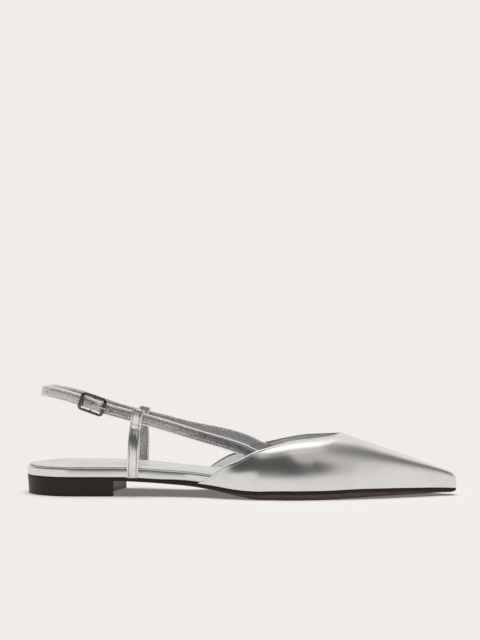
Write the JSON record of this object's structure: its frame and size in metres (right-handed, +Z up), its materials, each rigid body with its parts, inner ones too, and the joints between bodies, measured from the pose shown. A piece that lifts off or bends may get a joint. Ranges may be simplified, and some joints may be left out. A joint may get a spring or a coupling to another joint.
{
  "type": "sling back flat",
  "caption": "Pointed sling back flat for the right foot: hollow leather vamp, thin sole with a low block heel, and a buckled heel strap held by upright keepers",
  "frame": {"origin": "on the floor, in the middle of the flat bottom face of the heel, 30 mm ahead of its back", "axes": "+X towards the toe, +Y towards the inner side of the right foot, +Z up"},
  "size_m": [0.2681, 0.0774, 0.0675],
  "materials": {
    "upper_leather": "smooth metallic silver, soft gloss",
    "strap_leather": "metallic silver, fine grain",
    "insole_leather": "pale metallic silver, soft",
    "sole": "black painted edge over a dark brown bevel and underside",
    "heel": "black, satin",
    "buckle_metal": "polished dark nickel"
  },
  "bodies": {
    "root": {"outsole": "sole", "heel": "heel", "insole_board": "upper_leather", "insole": "insole_leather", "vamp": "upper_leather", "sling_strap_outer": "strap_leather", "sling_strap_inner": "strap_leather", "keeper_outer": "strap_leather", "keeper_inner": "strap_leather", "buckle_frame": "buckle_metal", "buckle_prong": "buckle_metal"}
  },
  "joints": []
}
